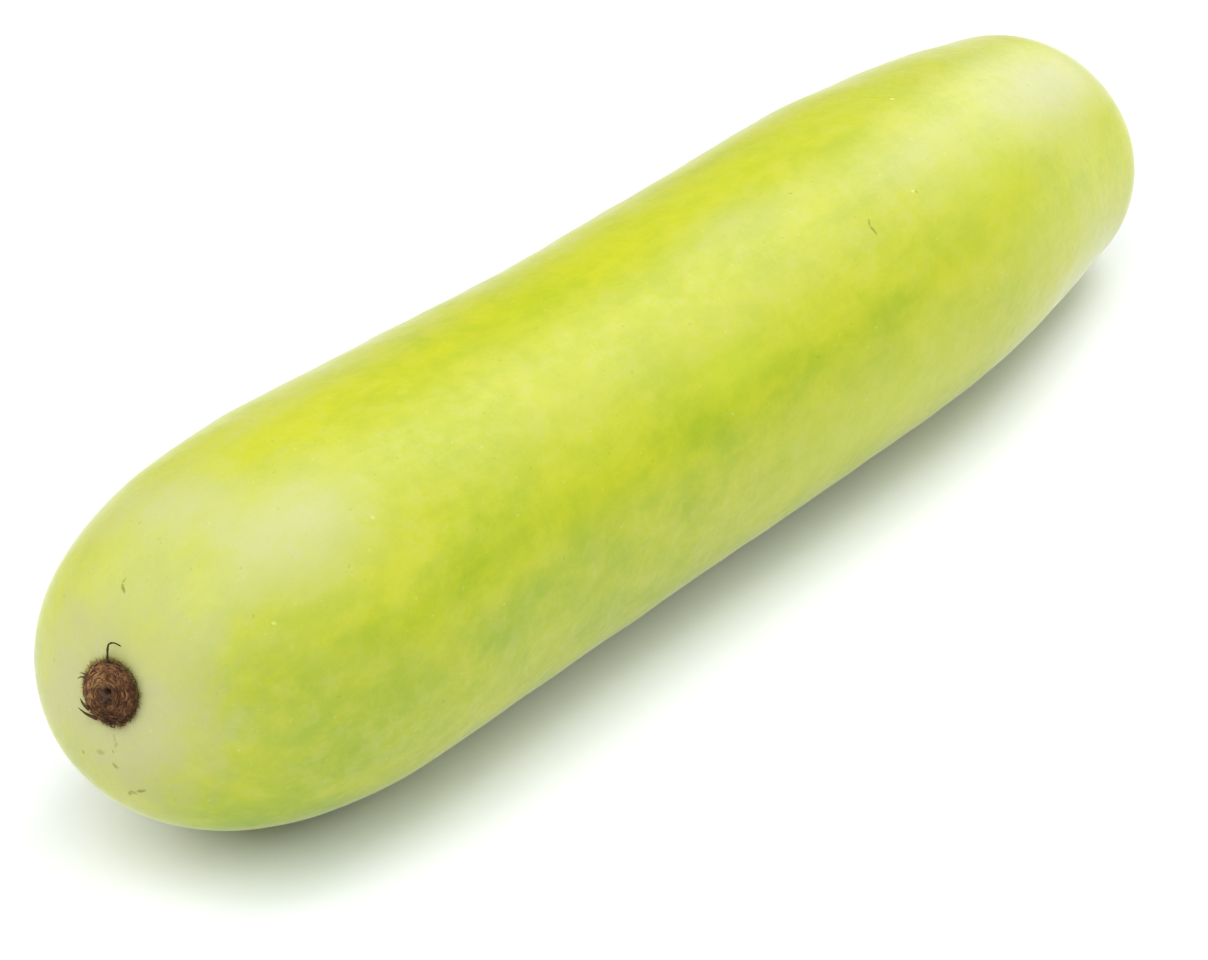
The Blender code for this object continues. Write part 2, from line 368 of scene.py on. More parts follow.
# Direction from the fruit, size across and towards the zenith, radiance.
SOFTBOXES = {
    "front_softbox": ((-0.58, -0.12, 0.80), (1.40, 1.30), 2.85),
    "overhead_softbox": ((0.42, -0.10, 0.90), (0.84, 0.56), 2.65),
    "rear_softbox": ((0.76, -0.10, 0.62), (0.68, 0.66), 3.25),
    "low_rear_softbox": ((0.94, 0.07, 0.24), (0.70, 0.42), 2.5),
    "left_softbox": ((-0.35, 0.75, 0.55), (1.00, 0.80), 1.8),
    "right_softbox": ((0.10, -0.85, 0.50), (1.00, 0.80), 0.80),
    "rear_right_softbox": ((0.65, -0.65, 0.35), (0.80, 0.50), 1.25),
}

# ---- Camera ----
CAMERA_AZIMUTH = math.radians(-56.5686)
CAMERA_ELEVATION = math.radians(28.0135)
CAMERA_DISTANCE = 1.1
CAMERA_AIM = Vector((-0.0508, -0.0197, 0.0400))
# Focal length on a sensor 36 mm wide.
CAMERA_LENS = 167.65
CAMERA_SENSOR = 36.0


# ---- Small helpers ----
def smooth_through(values, station):
    """Catmull-Rom curve through equally spaced values, for stations from 0 to 1."""
    values = np.asarray(values, dtype=float)
    ends = (2 * values[0] - values[1], 2 * values[-1] - values[-2])
    padded = np.concatenate(([ends[0]], values, [ends[1]]))
    last = len(values) - 1
    position = np.clip(station, 0.0, 1.0) * last
    k = np.minimum(position.astype(int), last - 1)
    t = position - k
    before, here, there, after = (padded[k + step] for step in range(4))
    linear = (there - before) * t
    square = (2 * before - 5 * here + 4 * there - after) * t ** 2
    cube = (3 * here - 3 * there + after - before) * t ** 3
    return here + 0.5 * (linear + square + cube)


def wrapped(angle):
    """Angle brought to between minus and plus half a turn."""
    return np.mod(angle + math.pi, math.tau) - math.pi


def cap_share(distance, length, power):
    """Share of the full radius at a distance from an end that closes as a superellipse."""
    left = 1.0 - np.clip(distance / length, 0.0, 1.0)
    return np.maximum(1.0 - left ** power, 0.0) ** (1.0 / power)


def skin_points(station, turn, proud=0.0):
    """Points of the skin, raised by proud: station 0 is the blossom end, 1 the stem end."""
    along = station * FRUIT_LENGTH
    body = smooth_through(BODY_RADII, station)
    radius = body * cap_share(along, BLOSSOM_CAP_LENGTH, BLOSSOM_CAP_POWER)
    radius = radius * cap_share(FRUIT_LENGTH - along, STEM_CAP_LENGTH, STEM_CAP_POWER)
    away = wrapped(turn - SHOULDER_TURN) / SHOULDER_HALF_TURN
    beyond = (along - SHOULDER_ALONG) / SHOULDER_HALF_LENGTH
    shoulder = SHOULDER_DEPTH * np.exp(-away ** 2 - beyond ** 2)
    radius = radius - shoulder * np.minimum(radius / SHOULDER_FADE_RADIUS, 1.0)
    radius = radius + proud * np.minimum(radius / MIDDLE_RADIUS, 1.0)

    into_tip = np.maximum(TIP_LENGTH - along, 0.0)
    rise = TIP_SLOPE * into_tip ** 2 / (2 * TIP_LENGTH)
    lean = np.arctan(TIP_SLOPE * into_tip / TIP_LENGTH)
    across = radius * np.cos(turn)
    up = HEIGHT_TO_WIDTH * radius * np.sin(turn)
    dimple = DIMPLE_DEPTH * np.exp(-(radius / DIMPLE_RADIUS) ** DIMPLE_POWER) * (station > 0.5)
    axis_height = HEIGHT_TO_WIDTH * body + smooth_through(BELLY_SAG, station) + rise
    x = along + np.sin(lean) * up - dimple
    y = smooth_through(SIDE_SWAY, station) + across
    z = np.maximum(axis_height + np.cos(lean) * up, 0.0)
    return np.stack((x, y, z), axis=-1)


def write_values(mesh, name, values, kind="FLOAT", field="value"):
    """Store one number per vertex, or one place, for the material to read."""
    made = mesh.attributes.new(name, kind, "POINT")
    made.data.foreach_set(field, np.asarray(values, dtype=np.float32).ravel())


def add_piece(name, mesh, material, node, place=None):
    """Show a mesh as a piece that rides on the part and stands for a CAD node."""
    piece = bpy.data.objects.new(name, mesh)
    if place is not None:
        piece.matrix_world = place
    bpy.context.scene.collection.objects.link(piece)
    mesh.materials.append(material)
    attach(piece, "root")
    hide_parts(node)


def closed_grid(rows, columns):
    """Faces between rows of points that run right round, each row of the same count."""
    faces = []
    for row in range(rows - 1):
        for column in range(columns):
            after = (column + 1) % columns
            here = row * columns
            there = here + columns
            faces.append((here + column, here + after, there + after, there + column))
    return faces


def mesh_from(name, points, faces):
    """Smooth-shaded mesh from points and faces."""
    mesh = bpy.data.meshes.new(name)
    mesh.from_pydata([tuple(point) for point in points], [], faces)
    mesh.validate()
    mesh.shade_smooth()
    return mesh


class Nodes:
    """A material's nodes, with short calls for the kinds used here."""

    def __init__(self, name):
        self.material = bpy.data.materials.new(name)
        self.material.use_nodes = True
        self.tree = self.material.node_tree
        self.surface = self.tree.nodes["Principled BSDF"]

    def feed(self, socket, value):
        """Link a socket, or set its own value."""
        if isinstance(value, bpy.types.NodeSocket):
            self.tree.links.new(value, socket)
        elif isinstance(value, tuple) and len(value) == 3 and socket.type == "RGBA":
            socket.default_value = (*value, 1.0)
        else:
            socket.default_value = value

    def node(self, kind, inputs, **settings):
        """New node of a kind, with its settings made and its inputs fed."""
        node = self.tree.nodes.new("ShaderNode" + kind)
        for setting, value in settings.items():
            setattr(node, setting, value)
        for socket, value in inputs.items():
            self.feed(node.inputs[socket], value)
        return node

    def math(self, operation, first, second=0.0, clamp=False):
        """One step of arithmetic; clamp keeps the result between 0 and 1."""
        inputs = {0: first, 1: second}
        return self.node("Math", inputs, operation=operation, use_clamp=clamp).outputs[0]

    def total(self, values, clamp=False):
        """Sum of two values or more."""
        total = values[0]
        for value in values[1:-1]:
            total = self.math("ADD", total, value)
        return self.math("ADD", total, values[-1], clamp)

    def mix(self, share, first, second):
        """Colour that goes from the first to the second with the share."""
        return self.node("Mix", {0: share, 6: first, 7: second}, data_type="RGBA").outputs[2]

    def layered(self, colour, layers):
        """Colour with further colours laid over it, each by its share."""
        for share, tint in layers:
            colour = self.mix(share, colour, tint)
        return colour

    def attribute(self, name, output="Fac"):
        """What a mesh stores under a name: one number, or a place for the output Vector."""
        return self.node("Attribute", {}, attribute_name=name).outputs[output]

    def object_place(self):
        """Place on the object, in metres."""
        return self.node("TexCoord", {}).outputs["Object"]

    def stretched(self, place, scale, move=(0.0, 0.0, 0.0)):
        """Place scaled on each axis and moved; a scale below one stretches the pattern there."""
        inputs = {"Vector": place, "Scale": scale, "Location": move}
        return self.node("Mapping", inputs).outputs[0]

    def noise(self, place, size, detail=3.0, roughness=0.5, distortion=0.0):
        """Noise whose features are about size metres across."""
        inputs = {"Vector": place, "Scale": 1.0 / size, "Detail": detail}
        inputs.update({"Roughness": roughness, "Distortion": distortion})
        return self.node("TexNoise", inputs).outputs["Fac"]

    def length(self, place):
        """Distance of a place from the origin."""
        return self.node("VectorMath", {0: place}, operation="LENGTH").outputs["Value"]

    def axes(self, place):
        """The three parts of a place."""
        return self.node("SeparateXYZ", {0: place}).outputs

    def shaken(self, place, size, reach):
        """Place shifted by noise, by up to about half the reach each way."""
        wobble = self.node("TexNoise", {"Vector": place, "Scale": 1.0 / size}).outputs["Color"]
        centred = self.stretched(place, (1.0, 1.0, 1.0), move=(-reach / 2,) * 3)
        inputs = {0: wobble, 1: (reach,) * 3, 2: centred}
        return self.node("VectorMath", inputs, operation="MULTIPLY_ADD").outputs[0]

    def between(self, value, low, high, to_low=0.0, to_high=1.0):
        """Smooth step from to_low, where the value is low, to to_high, where it is high."""
        inputs = {"Value": value, "From Min": low, "From Max": high}
        inputs.update({"To Min": to_low, "To Max": to_high})
        return self.node("MapRange", inputs, interpolation_type="SMOOTHSTEP").outputs[0]

    def strokes(self, place, marks, shift):
        """Strength of the strongest of some short strokes on the skin, at a place."""
        most = 0.0
        for arc, turn, arc_end, turn_end, half_width, strength in marks:
            start, normal = place_on_skin(arc, turn, shift)
            end, _ = place_on_skin(arc_end, turn_end, shift)
            along = (end - start).normalized()
            side = normal.cross(along).normalized()
            axes = Matrix((along, side, along.cross(side))).transposed()
            wide = half_width * MARK_SPREAD
            inputs = {
                "Vector": place,
                "Location": (start + end) / 2,
                "Rotation": axes.to_euler(),
                "Scale": ((end - start).length / 2 + wide, wide, MARK_DEPTH),
            }
            inside = self.length(self.node("Mapping", inputs, vector_type="TEXTURE").outputs[0])
            most = self.math("MAXIMUM", self.between(inside, *MARK_FADE, 0.0, strength), most)
        return most

    def finish(self, colour, roughness, height, distance, strength):
        """Give the surface its colour, its roughness and a bump of a distance in metres."""
        inputs = {"Strength": strength, "Distance": distance, "Height": height}
        self.surface_inputs({
            "Base Color": colour,
            "Roughness": roughness,
            "Normal": self.node("Bump", inputs).outputs[0],
        })

    def surface_inputs(self, values):
        """Set or link the surface's inputs, by name."""
        for name, value in values.items():
            self.feed(self.surface.inputs[name], value)


# ---- Skin ----
def place_on_skin(arc, turn, shift):
    """Point of the skin and its outward normal, from the arc (m) and the turn (degrees)."""
    angle = math.radians(turn)
    stations = np.linspace(0.0, 1.0, ARC_STEPS) ** ARC_CROWDING
    line = skin_points(stations, np.full_like(stations, angle))
    arcs = np.concatenate(([0.0], np.cumsum(np.linalg.norm(np.diff(line, axis=0), axis=-1))))
    at = float(np.interp(arc, arcs, stations))
    ahead = at * (1.0 + NORMAL_STEP)
    here = skin_points(np.array([at, ahead, at]), np.array([angle, angle, angle + NORMAL_STEP]))
    normal = Vector(here[2] - here[0]).cross(Vector(here[1] - here[0])).normalized()
    return Vector(here[0] + shift), normal


def cloud_values(clouds, arc, turn):
    """Strength of a set of soft clouds at each vertex."""
    total = np.zeros_like(arc)
    for centre, centre_turn, half_length, half_turn, strength in clouds:
        beyond = (arc - centre) / half_length
        round_it = wrapped(turn - math.radians(centre_turn)) / math.radians(half_turn)
        total = np.maximum(total, strength * np.exp(-beyond ** 2 - round_it ** 2))
    return total


def end_folds(distance, turn, folds):
    """Height of the folds round an end: deepest at their reach, none at the end's middle."""
    depth, reach, count, sway, sway_count = folds
    share = distance / reach
    wave = np.sin(count * turn + sway * np.sin(sway_count * turn))
    return depth * wave * share ** 2 * np.exp(1 - share ** 2)


def make_skin():
    """The fruit's skin in fine mesh, with its low swellings and the folds at both ends.

    Returns the mesh and the shift from skin_points to the frame.
    """
    # Rings crowd towards both ends, as on a globe.
    rows = np.arange(1, SKIN_RINGS) / SKIN_RINGS
    stations = (1.0 - np.cos(math.pi * rows)) / 2
    turns = np.arange(SKIN_SEGMENTS) / SKIN_SEGMENTS * math.tau
    station, turn = np.meshgrid(stations, turns, indexing="ij")
    plain = skin_points(station, turn)
    start = skin_points(np.zeros((1, SKIN_SEGMENTS)), turn[:1])
    steps = np.linalg.norm(np.diff(np.concatenate((start, plain)), axis=0), axis=-1)
    arc = np.cumsum(steps, axis=0)
    whole = arc[-1].mean() + np.linalg.norm(plain[-1] - plain[-1].mean(axis=0), axis=-1).mean()

    proud = np.zeros_like(station)
    for depth, waves, round_waves, start_at in SWELLINGS:
        wave = np.sin(math.tau * waves * station + start_at)
        winding = round_waves * turn + start_at * 2 + SWELLING_TWIST * station
        proud += depth * wave * np.cos(winding)
    points = skin_points(station, turn, proud)
    points[..., 0] += end_folds(whole - arc, turn, STALK_FOLDS) - end_folds(arc, turn, PUCKERS)

    first = skin_points(np.zeros(1), np.zeros(1))
    final = skin_points(np.ones(1), np.zeros(1))
    every = np.concatenate((first, points.reshape(-1, 3), final))
    low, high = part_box("fruit")
    shift = (np.array(low) + np.array(high)) / 2 - (every.min(axis=0) + every.max(axis=0)) / 2
    shift[2] = low[2] - every[:, 2].min()
    every = every + shift

    faces = [tuple(1 + index for index in face)
             for face in closed_grid(SKIN_RINGS - 1, SKIN_SEGMENTS)]
    tail = len(every) - 1
    last_row = 1 + (SKIN_RINGS - 2) * SKIN_SEGMENTS
    for column in range(SKIN_SEGMENTS):
        after = (column + 1) % SKIN_SEGMENTS
        faces.append((0, 1 + after, 1 + column))
        faces.append((tail, last_row + column, last_row + after))
    mesh = mesh_from("skin", every, faces)

    def with_ends(values, at_first, at_final):
        return np.concatenate(([at_first], values.ravel(), [at_final]))

    arcs = with_ends(arc, 0.0, whole)
    all_turns = with_ends(turn, 0.0, 0.0)
    # The skin rolled out along a straight tube, for streaks that follow the fruit.
    tube = (arcs, MIDDLE_RADIUS * np.cos(all_turns), MIDDLE_RADIUS * np.sin(all_turns))
    write_values(mesh, "grain", np.stack(tube, axis=-1), "FLOAT_VECTOR", "vector")
    write_values(mesh, "from_stalk", whole - arcs)
    write_values(mesh, "green_clouds_and_low_shade", cloud_values(GREEN_CLOUDS_AND_LOW_SHADE, arcs, all_turns))
    write_values(mesh, "pale_clouds_and_highlights", cloud_values(PALE_CLOUDS_AND_HIGHLIGHTS, arcs, all_turns))
    write_values(mesh, "lime_clouds", cloud_values(LIME_CLOUDS, arcs, all_turns))
    write_values(mesh, "mottled", 1.0 - cloud_values(PLAIN_CLOUDS, arcs, all_turns))
    write_values(mesh, "past_cap", arcs / CAP_REACH)
    write_values(mesh, "stained", 0.5 + 0.5 * np.cos(all_turns - STAIN_TURN))
    write_values(mesh, "ground_spot", cloud_values(GROUND_SPOT, arcs, all_turns))
    return mesh, shift


def skin_material(shift):
    """Waxy yellow-green skin: green mottling, pale ends, fine flecks, marks and streaks, with
    painted shade low on the side near the floor and painted highlights on the upper side.
    """
    n = Nodes("gourd_skin")
    place = n.object_place()
    grain = n.attribute("grain", "Vector")

    # Patterns in several sizes. The larger ones are longer along the fruit than round it.
    long_place = n.stretched(place, (0.55, 1.0, 1.0))
    small_place = n.stretched(place, (0.7, 1.0, 1.0))
    streak_place = n.stretched(grain, (0.10, 1.0, 1.0))
    middle = n.noise(long_place, MIDDLE_MOTTLE, detail=5.0, roughness=0.62, distortion=0.5)
    fine = n.noise(place, FINE_MOTTLE, detail=4.0, roughness=0.65)
    streaks = n.noise(streak_place, STREAK_WIDTH, detail=3.0, roughness=0.6)
    patterns = {
        "broad": n.noise(long_place, BROAD_MOTTLE, detail=4.0, roughness=0.55, distortion=0.6),
        "middle": middle,
        "small": n.noise(small_place, SMALL_MOTTLE, detail=4.0, roughness=0.6),
        "streaks": streaks,
        "fine": fine,
    }

    def broken(name, least):
        """A set of clouds, weaker where the middle pattern is low."""
        share = n.between(middle, 0.25, 0.60, least, 1.0)
        return n.math("MULTIPLY", n.attribute(name), share)

    # Green patches, painted shade low on the side near the floor, and the green mottling.
    green = [n.math("MULTIPLY", broken("green_clouds_and_low_shade", 0.62), GREEN_AND_SHADE_CLOUD_SHARE)]
    green += [n.between(patterns[name], *steps) for name, steps in GREEN_MOTTLING.items()]
    colour = n.mix(n.total(green, clamp=True), YELLOW_GREEN, LEAF_GREEN)
    mottling = [n.between(patterns[name], *steps) for name, steps in PALE_MOTTLING.items()]
    mottling = n.math("MULTIPLY", n.total(mottling + [PALE_THROUGHOUT]), n.attribute("mottled"))
    # Pale patches and painted highlights, broken up by the middle pattern, with the pale mottling.
    pale_share = n.between(middle, 0.20, 0.60, 0.6, 1.0)
    pale = n.math("MULTIPLY", n.attribute("pale_clouds_and_highlights"), pale_share)
    colour = n.mix(n.total([pale, mottling], clamp=True), colour, PALE_GREEN)
    colour = n.mix(n.attribute("ground_spot"), colour, CREAM)

    # Paler, duller skin round the flower scar, and near-white skin by the stalk.
    blossom = n.math("ADD", n.attribute("past_cap"), n.between(middle, 0.25, 0.75, 0.22, -0.22))
    stem = n.math("ADD", n.attribute("from_stalk"), n.between(middle, 0.2, 0.8, -0.015, 0.015))
    grit = n.noise(place, GRIT_SIZE, detail=3.0, roughness=0.7)
    speck_place = n.stretched(place, (0.8, 1.0, 1.0), move=(0.4, 0.1, 0.2))
    specks = n.noise(speck_place, SPECK_SPACING, detail=1.5)
    fleck = n.between(specks, 0.70, 0.80, 0.0, 0.24)
    # Orange-brown stain round the scar's rim, stronger on one side.
    stain_share = n.between(fine, 0.38, 0.62, 0.05, 0.80)
    stain = n.math("MULTIPLY", n.between(n.axes(grain)[0], *STAIN_EDGE), stain_share)
    shaken = n.shaken(place, MARK_WOBBLE_SIZE, MARK_WOBBLE)
    nicks = n.strokes(shaken, OLIVE_MARKS, shift)
    colour = n.layered(colour, (
        (n.between(blossom, 1.45, 0.15, 0.0, 0.95), BLOSSOM_PALE),
        (broken("lime_clouds", 0.7), LIME),
        (n.between(stem, 0.030, 0.010, 0.0, 0.75), STEM_PALE),
        (n.between(grit, 0.54, 0.72, 0.0, 0.09), PALE_GRIT),
        (n.between(grit, 0.46, 0.28, 0.0, 0.09), GREEN_GRIT),
        (fleck, FLECK),
        (n.between(specks, 0.285, 0.21, 0.0, 0.32), PORE),
        (n.math("MULTIPLY", stain, n.attribute("stained")), STAIN),
        (nicks, OLIVE),
        (n.strokes(shaken, PALE_MARKS, shift), FLECK),
    ))

    parts = [n.math("MULTIPLY", fine, 0.6), n.math("MULTIPLY", fleck, 0.5)]
    relief = n.total(parts + [n.math("MULTIPLY", streaks, 0.5)])
    relief = n.math("SUBTRACT", relief, nicks)
    n.finish(colour, n.between(fine, 0.3, 0.7, 0.34, 0.43), relief, 0.00012, 0.36)
    n.surface_inputs({
        "IOR": 1.45, "Specular IOR Level": 0.30, "Sheen Weight": 0.55, "Sheen Roughness": 0.19,
        "Subsurface Weight": 0.12, "Subsurface Radius": (1.0, 0.9, 0.25), "Subsurface Scale": 0.004,
    })
    return n.material


# ---- Flower scar ----
def end_matrix(station, lean, shift):
    """Placing of an end's pieces: local Z points out of the fruit, from just off its skin."""
    outward = Vector((math.cos(lean), 0.0, -math.sin(lean)))
    if station < 0.5:
        outward.negate()
    turned = Matrix.Rotation(math.atan2(outward.x, outward.z), 4, "Y")
    pole = skin_points(np.array([float(station)]), np.zeros(1))[0] + shift
    return Matrix.Translation(Vector(pole) + outward * SEAT_GAP) @ turned


def scar_height(x, y):
    """Height of the dry button at a place on it, without its ridges."""
    reach = math.hypot(x, y) / SCAR_RADIUS
    height = float(smooth_through(SCAR_HEIGHTS, np.array(reach)))
    for hollow_x, hollow_y, radius, depth in SCAR_HOLLOWS:
        away = math.hypot(x - hollow_x, y - hollow_y) / radius
        height -= depth * math.exp(-away ** 4)
    return height


def grain_at(x, y, rate, layer=0.0):
    """Noise over the button; rate is in changes per metre, each layer is another pattern."""
    return noise.noise(Vector((x, y, layer)) * rate)


def make_button():
    """The dry button: a fine disc with a sunken middle, ragged ridges round it and a torn rim."""
    points = []
    crests = []
    for row in range(SCAR_ROWS + 1):
        reach = row / SCAR_ROWS
        strength = min(max((reach - RIDGES_FROM) / RIDGES_GROW, 0.0), 1.0)
        for column in range(SCAR_COLUMNS):
            angle = column / SCAR_COLUMNS * math.tau
            way = Vector((math.cos(angle), math.sin(angle), 0.0))
            torn = sum(depth * noise.noise(way * rate) for depth, rate in RIM_TEARS)
            radius = SCAR_RADIUS * reach * (1.0 + torn * reach ** 3)
            x, y = way.x * radius, way.y * radius
            wander = RIDGE_WANDER * grain_at(x, y, RIDGE_WANDER_RATE)
            wander += RIDGE_WOBBLE * noise.noise(way * RIDGE_WOBBLE_RATE * reach)
            ridge = math.sin(radius / RIDGE_SPACING * math.tau + wander)
            ridge *= 0.5 + grain_at(x, y, RIDGE_BREAK_RATE, 7.0)
            crumb = grain_at(x, y, CRUMB_RATE, 0.5)
            crumb += FINE_CRUMB_SHARE * grain_at(x, y, FINE_CRUMB_RATE, 2.0)
            lump = grain_at(x, y, LUMP_RATE, 4.0)
            relief = (strength * ridge, crumb, strength * lump)
            rough = RIDGE_HEIGHT * sum(a * b for a, b in zip(ROUGH_SHARES, relief))
            points.append(Vector((x, y, scar_height(x, y) + rough)))
            crests.append(0.5 + sum(a * b for a, b in zip(CREST_SHARES, relief)))
    for edge in points[-SCAR_COLUMNS:]:
        points.append(Vector((edge.x * SCAR_FOOT_SHARE, edge.y * SCAR_FOOT_SHARE, SCAR_FOOT)))
        crests.append(0.0)
    faces = closed_grid(SCAR_ROWS + 2, SCAR_COLUMNS)
    faces.append(tuple(range(len(points) - SCAR_COLUMNS, len(points)))[::-1])
    mesh = mesh_from("scar_button", points, faces)
    write_values(mesh, "crest", crests)
    merge_middle(mesh)
    return mesh


def merge_middle(mesh):
    """Weld the ring of points that lie on each other at a disc's middle, and face outwards."""
    bm = bmesh.new()
    bm.from_mesh(mesh)
    bmesh.ops.remove_doubles(bm, verts=bm.verts, dist=1e-7)
    bmesh.ops.recalc_face_normals(bm, faces=bm.faces)
    bm.to_mesh(mesh)
    bm.free()
    mesh.shade_smooth()


def add_strand(strands, route, radii, shade, sides):
    """Add one tapered strand through a route to the lists of points, faces and shades."""
    points, faces, shades = strands
    base = len(points)
    count = len(route)
    side = Vector((0.31, 0.17, 0.93))
    for k, place in enumerate(route):
        ahead = (route[min(k + 1, count - 1)] - route[max(k - 1, 0)]).normalized()
        side = (side - ahead * side.dot(ahead)).normalized()
        other = ahead.cross(side)
        for j in range(sides):
            angle = j / sides * math.tau
            points.append(place + (side * math.cos(angle) + other * math.sin(angle)) * radii[k])
            shades.append(shade)
    for k in range(count - 1):
        for j in range(sides):
            after = (j + 1) % sides
            here = base + k * sides
            there = here + sides
            faces.append((here + j, here + after, there + after, there + j))
    faces.append(tuple(base + j for j in range(sides))[::-1])
    faces.append(tuple(base + (count - 1) * sides + j for j in range(sides)))


def curve_through(places, count):
    """Points of a smooth curve through a few places."""
    at = np.linspace(0.0, 1.0, count)
    axes = [smooth_through([place[axis] for place in places], at) for axis in range(3)]
    return [Vector(point) for point in zip(*axes)]


def add_fibres(draw, strands):
    """Matted fibres over the button, straw-coloured or brown."""
    for index in range(FIBRE_COUNT):
        broad = index < BROAD_FIBRES
        radius = SCAR_RADIUS * math.sqrt(draw.uniform(*FIBRE_AREA))
        start = draw.uniform(0.0, math.tau)
        sweep = draw.uniform(*FIBRE_LENGTH) * (BROAD_LONGER if broad else 1.0) / radius
        sweep *= draw.choice((-1, 1))
        drift = draw.gauss(0.0, FIBRE_DRIFT)
        curl = draw.gauss(0.0, FIBRE_CURL)
        lift = draw.uniform(*FIBRE_LIFT)
        # Half of them come loose at one end.
        loose = draw.uniform(0.0, FIBRE_LOOSE) * (draw.random() < 0.5)
        steps = [k / FIBRE_STEPS for k in range(FIBRE_STEPS + 1)]
        route = []
        for t in steps:
            r = min(radius + drift * t + curl * math.sin(math.pi * t), SCAR_RADIUS * 1.01)
            angle = start + sweep * t
            x, y = r * math.cos(angle), r * math.sin(angle)
            route.append(Vector((x, y, scar_height(x, y) + lift + loose * t ** 3)))
        thickness = draw.uniform(*FIBRE_THICKNESS) * (BROAD_THICKER if broad else 1.0)
        radii = [thickness * (1.0 - 0.75 * abs(2 * t - 1) ** 2.5) for t in steps]
        # Paler towards the top and the +Y side, where the button is tan.
        middle = route[FIBRE_STEPS // 2]
        tone = 0.5 + 0.1 * (middle.x + middle.y) / 0.001
        shade = 0.04 + 0.96 * draw.random() ** 1.7 * min(max(tone, 0.28), 1.0)
        add_strand(strands, route, radii, shade, sides=4)


def add_fringe(draw, strands):
    """Hairs of the torn rim, from brown to olive: their shades are negative."""
    for _ in range(FRINGE_COUNT):
        angle = draw.uniform(0.0, math.tau)
        root = SCAR_RADIUS * draw.uniform(*FRINGE_ROOT)
        lean = angle + draw.gauss(0.0, FRINGE_SPREAD)
        long_share = 0.5 + 0.5 * math.cos(angle - LONG_SIDE)
        olive_share = 0.5 + 0.5 * math.cos(angle - OLIVE_SIDE)
        length = draw.uniform(*FRINGE_LENGTH) * (0.65 + 1.05 * long_share)
        slope = draw.uniform(*FRINGE_SLOPE)
        steps = [k / FRINGE_STEPS for k in range(FRINGE_STEPS + 1)]
        route = []
        for t in steps:
            x = root * math.cos(angle) + length * t * math.cos(lean)
            y = root * math.sin(angle) + length * t * math.sin(lean)
            route.append(Vector((x, y, FRINGE_FOOT + length * slope * t * (1 - 0.35 * t))))
        thickness = draw.uniform(*FRINGE_THICKNESS)
        radii = [thickness * (1.0 - 0.8 * t) for t in steps]
        shade = min(max(0.70 * olive_share + draw.uniform(-0.35, 0.35), 0.02), 1.0)
        add_strand(strands, route, radii, -shade, sides=4)


def add_bracts(draw, strands):
    """Dried bracts that stand off the rim, bulging outwards in the middle."""
    for start, finish, width in BRACTS:
        middle = [(a + b) / 2 for a, b in zip(start, finish)]
        bulge = Vector((middle[0], middle[1], 0.0)).normalized() * BRACT_BULGE
        bend = (middle[0] + bulge.x, middle[1] + bulge.y, middle[2] - 0.0001)
        route = curve_through((start, bend, finish), BRACT_STEPS + 1)
        radii = [width * (1.0 - 0.93 * (k / BRACT_STEPS) ** 1.6) for k in range(BRACT_STEPS + 1)]
        add_strand(strands, route, radii, -draw.uniform(0.0, 0.15), sides=6)


def make_fibres():
    """Loose fibres over the button, the fringe of hairs round it and the bracts off its rim."""
    draw = random.Random(SCAR_SEED)
    strands = ([], [], [])
    add_fibres(draw, strands)
    add_fringe(draw, strands)
    add_bracts(draw, strands)
    points, faces, shades = strands
    mesh = mesh_from("scar_fibres", points, faces)
    write_values(mesh, "shade", shades)
    return mesh


def make_thread():
    """The curled dry thread, thickest at its root and a little uneven."""
    route = curve_through(THREAD_ROUTE, THREAD_STEPS + 1)
    at_root, at_end = THREAD_TAPER
    radii = []
    for k in range(THREAD_STEPS + 1):
        t = k / THREAD_STEPS
        uneven = 1.0 + 0.08 * math.sin(23 * t) + 0.05 * math.sin(41 * t + 1)
        point = 1.0 - 0.7 * max(t - (1.0 - THREAD_POINT), 0) / THREAD_POINT
        radii.append(THREAD_RADIUS * uneven * (at_root + (at_end - at_root) * t) * point)
    points, faces, shades = [], [], []
    add_strand((points, faces, shades), route, radii, 0.5, sides=12)
    return mesh_from("scar_thread", points, faces)


def scar_material():
    """Dry brown scar: lighter tan on one side, dark in its middle and between the ridges."""
    n = Nodes("dry_scar")
    place = n.object_place()
    coarse = n.noise(place, 0.0013, detail=4.0, roughness=0.6, distortion=0.8)
    patches = n.noise(n.stretched(place, (1.0, 1.0, 1.0), move=(0.3, 0.0, 0.0)), 0.0019, detail=3.0)
    fine = n.noise(place, 0.00055, detail=3.0, roughness=0.6, distortion=0.4)
    crest = n.attribute("crest")
    tan = n.math("MULTIPLY", n.attribute("tan"), n.between(coarse, 0.25, 0.6, 0.5, 1.0))
    colour = n.layered(SCAR_DARK, (
        (n.between(coarse, 0.32, 0.62), SCAR_BROWN),
        (n.between(crest, 0.54, 0.86, 0.0, 0.42), SCAR_CREST),
        (n.between(fine, 0.46, 0.68, 0.0, 0.35), SCAR_GRAIN),
        (n.between(patches, 0.49, 0.36, 0.0, 0.70), SCAR_PATCH),
        (n.between(crest, 0.44, 0.18, 0.0, 0.62), SCAR_FURROW),
        (tan, SCAR_TAN),
        (n.attribute("middle"), SCAR_MIDDLE),
        (n.between(fine, 0.46, 0.30, 0.0, 0.50), SCAR_CRACK),
        (n.attribute("dark"), SCAR_PIT),
    ))
    n.finish(colour, n.between(fine, 0.3, 0.7, 0.75, 0.95), fine, 0.00008, 0.8)
    n.surface_inputs({"Specular IOR Level": 0.10})
    return n.material


